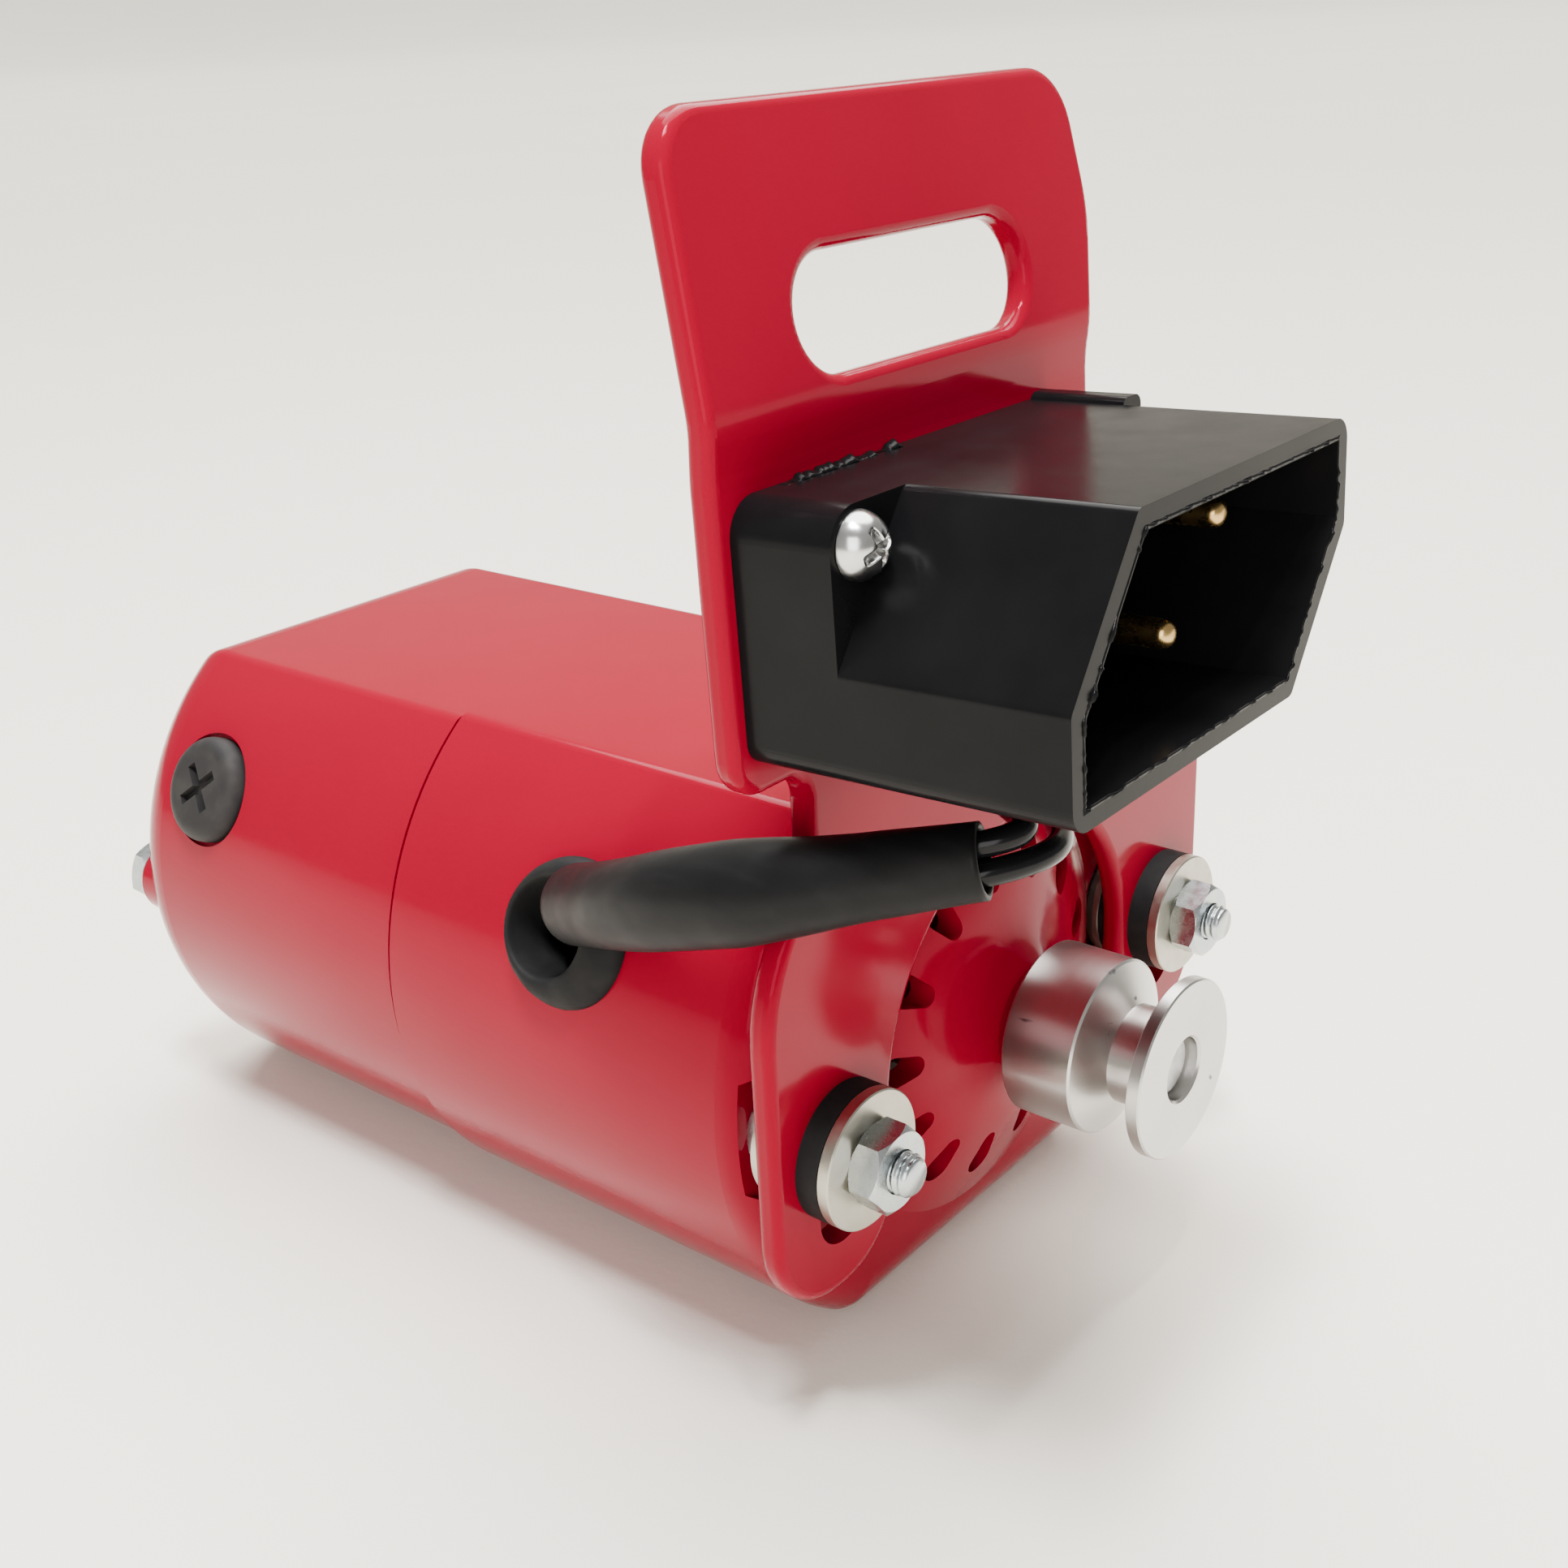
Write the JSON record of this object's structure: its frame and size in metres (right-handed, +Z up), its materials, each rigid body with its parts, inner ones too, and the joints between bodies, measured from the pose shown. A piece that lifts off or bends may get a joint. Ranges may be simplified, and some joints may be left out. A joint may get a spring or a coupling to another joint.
{
  "type": "sewing machine motor",
  "caption": "Universal motor in a flat-sided two-shell case, with a slotted mounting bracket on rubber bushes, a belt pulley, a keyed pin inlet and a sleeved lead.",
  "frame": {"origin": "on the flat underside of the case, below the shaft, 50 mm behind the front face of the mounting bracket's feet", "axes": "+Y along the shaft from the pulley to the rear end, +Z up through the bracket's flag, +X to the right seen from the pulley end"},
  "size_m": [0.0755, 0.1305, 0.1111],
  "materials": {
    "red_coating": "gloss",
    "black_rubber": "matte",
    "black_moulding": "semi-gloss",
    "brush_cap_moulding": "satin",
    "sleeving": "matte",
    "wire_insulation": "gloss",
    "zinc_plate": "bright",
    "washer_plate": "satin",
    "nickel_screw": "bright",
    "brass": "satin",
    "bearing_bronze": "matte",
    "turned_aluminium": "machined",
    "bright_steel": "ground",
    "black_steel": "blackened",
    "lamination_steel": "varnished",
    "enamelled_copper": "varnished",
    "commutator_copper": "turned",
    "fan_moulding": "matte",
    "phenolic": "matte",
    "carbon": "matte",
    "spring_steel": "bright"
  },
  "bodies": {
    "motor": {"front_housing": "red_coating", "rear_housing": "red_coating", "mounting_bracket": "red_coating", "bracket_bushes": "black_rubber", "lead_grommet": "black_rubber", "inlet_housing": "black_moulding", "brush_caps": "brush_cap_moulding", "lead_sleeve": "sleeving", "lead_wires": "wire_insulation", "front_nuts": "zinc_plate", "clamp_nuts": "zinc_plate", "through_studs": "zinc_plate", "rear_nuts": "zinc_plate", "front_washers": "washer_plate", "rear_washers": "washer_plate", "lock_washers": "washer_plate", "inlet_screws": "nickel_screw", "inlet_pins": "brass", "brush_tubes": "brass", "front_bearing": "bearing_bronze", "rear_bearing": "bearing_bronze", "bearing_retainers": "bright_steel", "stator_core": "lamination_steel", "field_coils": "enamelled_copper", "brush_holders": "phenolic", "left_brush_spring": "spring_steel", "right_brush_spring": "spring_steel"},
    "rotor": {"shaft": "bright_steel", "pulley": "turned_aluminium", "pulley_set_screw": "black_steel", "armature_core": "lamination_steel", "armature_windings": "enamelled_copper", "commutator": "commutator_copper", "cooling_fan": "fan_moulding", "shaft_spacers": "bright_steel"},
    "left_brush": {"left_carbon_brush": "carbon"},
    "right_brush": {"right_carbon_brush": "carbon"}
  },
  "joints": [
    {"name": "rotor_spin", "type": "hinge", "parent": "motor", "child": "rotor", "pos_m": [0, -0.05, 0.0265], "axis": [0, 1, 0], "continuous": true},
    {"name": "left_brush_slide", "type": "slide", "parent": "motor", "child": "left_brush", "axis": [-0.8988, 0, 0.4384], "range_m": [0, 0.0012], "stiffness_N_per_m": 120, "springref_m": -0.005, "deforming": ["left_brush_spring"]},
    {"name": "right_brush_slide", "type": "slide", "parent": "motor", "child": "right_brush", "axis": [0.8988, 0, -0.4384], "range_m": [0, 0.0012], "stiffness_N_per_m": 120, "springref_m": -0.005, "deforming": ["right_brush_spring"]}
  ]
}
